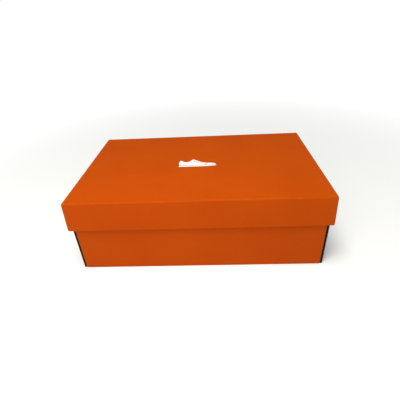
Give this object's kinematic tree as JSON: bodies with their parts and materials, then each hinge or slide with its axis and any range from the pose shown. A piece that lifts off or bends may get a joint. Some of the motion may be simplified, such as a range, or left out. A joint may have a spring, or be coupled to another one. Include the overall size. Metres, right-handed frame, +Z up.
{
  "type": "shoe box",
  "caption": "Folded corrugated shoe box with a lid hinged along its back edge, a rolled front wall locked into the floor, glued corner flaps and dark end walls.",
  "frame": {"origin": "centre of the outline at floor level, under the bottom panel", "axes": "+X along the long side to the right, +Y from the front to the hinged back, +Z up"},
  "size_m": [0.3468, 0.2192, 0.1116],
  "materials": {
    "orange_print": "matt orange print on the outer liner, bare brown kraft inside",
    "black_print": "matt near-black print on the outer liner, bare brown kraft inside"
  },
  "bodies": {
    "base": {"bottom_panel": "orange_print", "front_wall_outer": "orange_print", "front_wall_rim": "orange_print", "front_wall_inner": "orange_print", "back_wall": "orange_print", "hinge_crease": "orange_print", "left_end_wall": "black_print", "right_end_wall": "black_print", "left_front_flap": "black_print", "right_front_flap": "black_print", "left_back_flap": "black_print", "right_back_flap": "black_print"},
    "lid": {"lid_top": "orange_print", "lid_front_skirt": "orange_print", "left_lid_skirt": "orange_print", "right_lid_skirt": "orange_print", "left_lid_flap": "orange_print", "right_lid_flap": "orange_print"}
  },
  "joints": [
    {"name": "lid_hinge", "type": "hinge", "parent": "base", "child": "lid", "pos_m": [0, 0.10885, 0.11085], "axis": [-1, 0, 0], "range_deg": [0, 205]}
  ]
}
